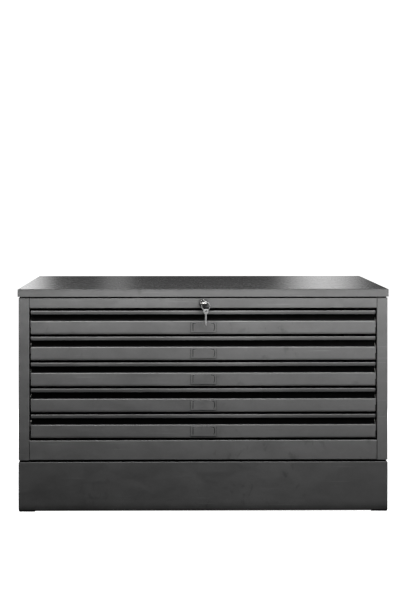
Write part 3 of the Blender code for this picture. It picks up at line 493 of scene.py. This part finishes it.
def add_back_screws(look):
    """Pan-head screws that hold the back panel."""
    low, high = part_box("back_panel")
    edge, first, pitch = high.x - 0.0085, low.z + 0.022, 0.0988
    places = [(side * edge, first + pitch * i) for _, side in SIDES for i in range(5)]
    places += [(x, z) for x in (-0.375, -0.125, 0.125, 0.375) for z in (low.z + 0.009, high.z - 0.012)]
    bm = bmesh.new()
    for i, (x, z) in enumerate(places):
        screw_head(bm, to_face((x, BACK + SEATED / 2, z), (0, 1, 0), 0.7 * i))
    finish_piece("back_screws", bm, look["zinc"], "carcass")


def add_rear_rivets(look):
    """Rivet heads on the back, over the shaft bracket and the bar guide."""
    dome = [(0, 0), (0.0034, 0), (0.0032, 0.0006), (0.0024, 0.0012), (0.0011, 0.0015), (0, 0.0016)]
    bm = bmesh.new()
    for node in ("shaft_bracket", "bar_guide"):
        low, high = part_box(node)
        for x in (low.x + 0.007, high.x - 0.007):
            turned(bm, dome, to_face((x, BACK + SEATED / 2, (low.z + high.z) / 2), (0, 1, 0)))
    finish_piece("rear_rivets", bm, look["carcass"], "carcass")


# ---------------------------------------------------------------- stage, light and camera

def add_stage():
    """A pale floor that runs out of view, and glows so that it stays white under the soft light."""
    bm = bmesh.new()
    bmesh.ops.create_grid(bm, x_segments=1, y_segments=1, size=30.0)
    mesh = bpy.data.meshes.new("studio_floor")
    bm.to_mesh(mesh)
    bm.free()
    floor = bpy.data.objects.new("studio_floor", mesh)
    bpy.context.scene.collection.objects.link(floor)
    material = bpy.data.materials.new("studio_white")
    material.use_nodes = True
    shader = material.node_tree.nodes["Principled BSDF"]
    shader.inputs["Base Color"].default_value = (0.90, 0.90, 0.90, 1.0)
    shader.inputs["Roughness"].default_value = 0.9
    shader.inputs["Specular IOR Level"].default_value = 0.1
    shader.inputs["Emission Color"].default_value = (1.0, 1.0, 1.0, 1.0)
    shader.inputs["Emission Strength"].default_value = 0.88
    mesh.materials.append(material)
    floor.visible_glossy = False
    floor.visible_diffuse = False


def add_flag():
    """A black studio flag, unseen by the camera, that keeps the front softbox off the lid."""
    lid_low, lid_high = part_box("top_panel")
    x, y = 3.0, lid_low.y - 0.004
    low, high = lid_high.z + 0.0025, lid_high.z + 1.2
    mesh = bpy.data.meshes.new("flag")
    mesh.from_pydata([(-x, y, low), (x, y, low), (x, y, high), (-x, y, high)], [], [(0, 1, 2, 3)])
    flag = bpy.data.objects.new("flag", mesh)
    bpy.context.scene.collection.objects.link(flag)
    black = bpy.data.materials.new("flag_cloth")
    black.use_nodes = True
    black.node_tree.nodes["Principled BSDF"].inputs["Base Color"].default_value = (0.01, 0.01, 0.01, 1.0)
    mesh.materials.append(black)
    flag.visible_camera = False
    flag.visible_diffuse = False


def add_world():
    """Soft surroundings, brighter overhead; plain white where the camera looks straight at them."""
    world = bpy.data.worlds.new("studio")
    bpy.context.scene.world = world
    world.use_nodes = True
    tree = Tree(world.node_tree)
    way = tree.add("ShaderNodeTexCoord").outputs["Generated"]
    height = tree.add("ShaderNodeSeparateXYZ", {0: way}).outputs["Z"]
    around = tree.span(height, -0.06, 0.04, 0.02, 0.018)
    overhead = tree.span(height, 0.15, 0.9, 0.0, 0.45)
    glow = tree.math("ADD", around, overhead)
    camera = tree.add("ShaderNodeLightPath").outputs["Is Camera Ray"]
    strength = tree.add("ShaderNodeMix", {0: camera, 2: glow, 3: 1.6}, data_type="FLOAT").outputs[0]
    tree.tree.links.new(strength, world.node_tree.nodes["Background"].inputs["Strength"])
    world.node_tree.nodes["Background"].inputs["Color"].default_value = (1, 1, 1, 1)


def add_light(name, place, aim, size, power):
    """Adds a rectangular area light, unseen by the camera."""
    data = bpy.data.lights.new(name, "AREA")
    data.shape = "RECTANGLE"
    data.size, data.size_y = size
    data.energy = power
    light = bpy.data.objects.new(name, data)
    light.location = place
    light.rotation_euler = (Vector(aim) - Vector(place)).to_track_quat("-Z", "Y").to_euler()
    light.visible_camera = False
    bpy.context.scene.collection.objects.link(light)
    return light


def add_feathered_strip(name, x, width, power):
    """An upright strip light behind the chest, fading to nothing at its sides, for a soft glow on the lid."""
    light = add_light(name, (x, BACK + 2.1, 1.0), (x, BACK, 1.0), (width, 1.2), power)
    light.data.use_nodes = True
    tree = Tree(light.data.node_tree)
    spot = tree.add("ShaderNodeNewGeometry").outputs["Parametric"]
    across = tree.add("ShaderNodeSeparateXYZ", {0: spot}).outputs["X"]
    fade = tree.math("POWER", tree.math("SINE", tree.math("MULTIPLY", across, math.pi)), 1.5)
    tree.tree.links.new(fade, light.data.node_tree.nodes["Emission"].inputs["Strength"])


def add_lights():
    """Soft boxes in front, fill at the sides and behind, and strips that glow on the lid."""
    add_light("front_softbox", (0.1, FRONT - 0.32, 0.93), (0.1, FRONT, 0.50), (1.5, 0.30), 23.0)
    add_light("right_softbox", (1.0, FRONT - 0.8, 0.85), (0.3, FRONT, 0.45), (0.5, 0.6), 6.0)
    add_light("rear_softbox", (0.0, BACK + 1.2, 1.9), (0.0, BACK, 0.4), (1.8, 0.8), 11.0)
    add_feathered_strip("left_strip", -0.755, 0.34, 2.45)
    add_feathered_strip("middle_strip", -0.33, 0.20, 0.22)
    add_feathered_strip("right_strip", 0.570, 0.46, 2.15)
    add_light("left_softbox", (-1.0, FRONT - 0.8, 0.85), (-0.3, FRONT, 0.45), (0.5, 0.6), 2.0)
    add_light("right_fill", (0.56, FRONT - 1.2, 0.26), (0.43, FRONT, 0.36), (0.5, 0.35), 1.0)
    for side_name, side in SIDES:
        add_light(f"{side_name}_low_box", (1.9 * side, 0.0, 0.34), (0.5 * side, 0.0, 0.34), (1.4, 0.36), 9.0)
    add_light("back_low_box", (0.0, BACK + 1.5, 0.34), (0.0, BACK, 0.34), (1.6, 0.36), 10.0)


def add_camera():
    """The camera, a little left of the middle and above the lid, with its frame shifted down."""
    data = bpy.data.cameras.new("camera")
    data.lens = 102.36
    data.shift_x, data.shift_y = 0.0011, -0.1786
    camera = bpy.data.objects.new("camera", data)
    camera.location = (-0.0754, FRONT - 4.62, 0.8633)
    camera.rotation_euler = (math.radians(90), 0, math.radians(-0.8))
    bpy.context.scene.collection.objects.link(camera)
    bpy.context.scene.camera = camera


look = finishes()
dress_nodes(look)
add_glides(look)
add_hems(look)
add_back_screws(look)
add_rear_rivets(look)
add_stage()
add_flag()
add_world()
add_lights()
add_camera()
bpy.context.scene.view_settings.view_transform = "Standard"
